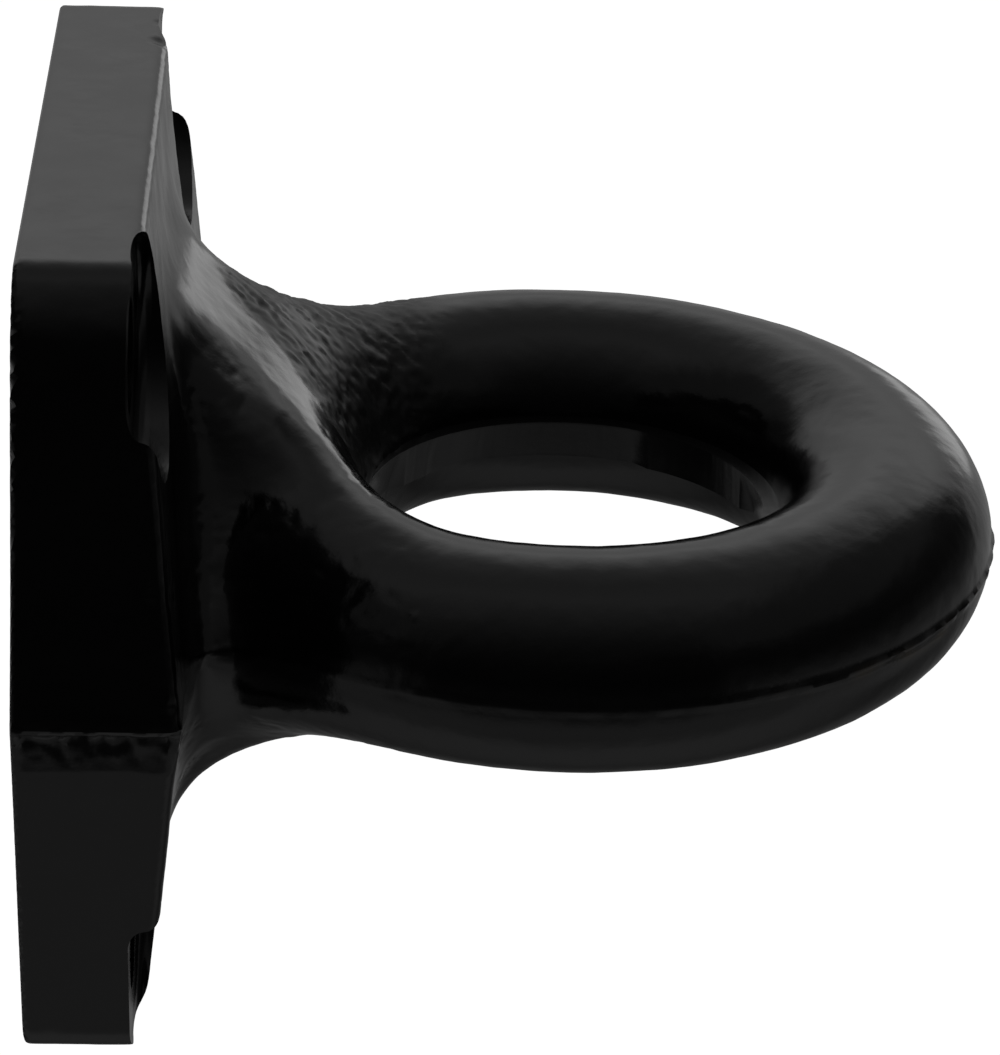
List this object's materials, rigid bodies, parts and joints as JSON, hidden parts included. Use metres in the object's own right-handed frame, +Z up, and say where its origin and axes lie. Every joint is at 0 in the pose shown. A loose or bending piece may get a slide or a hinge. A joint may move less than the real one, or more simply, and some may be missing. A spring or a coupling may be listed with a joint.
{
  "type": "pintle drawbar mount",
  "caption": "One-piece forged towing eye on a bolt-on plate, with a gusseted neck and spotfaced bolt seats, painted gloss black.",
  "frame": {"origin": "centre of the plate's flat back face, on the parting plane", "axes": "+X from the back face out to the eye, +Z up along the eye's axis, +Y across the plate"},
  "size_m": [0.1819, 0.1876, 0.1564],
  "materials": {
    "black_paint": "gloss"
  },
  "bodies": {
    "root": {"drawbar_forging": "black_paint"}
  },
  "joints": []
}
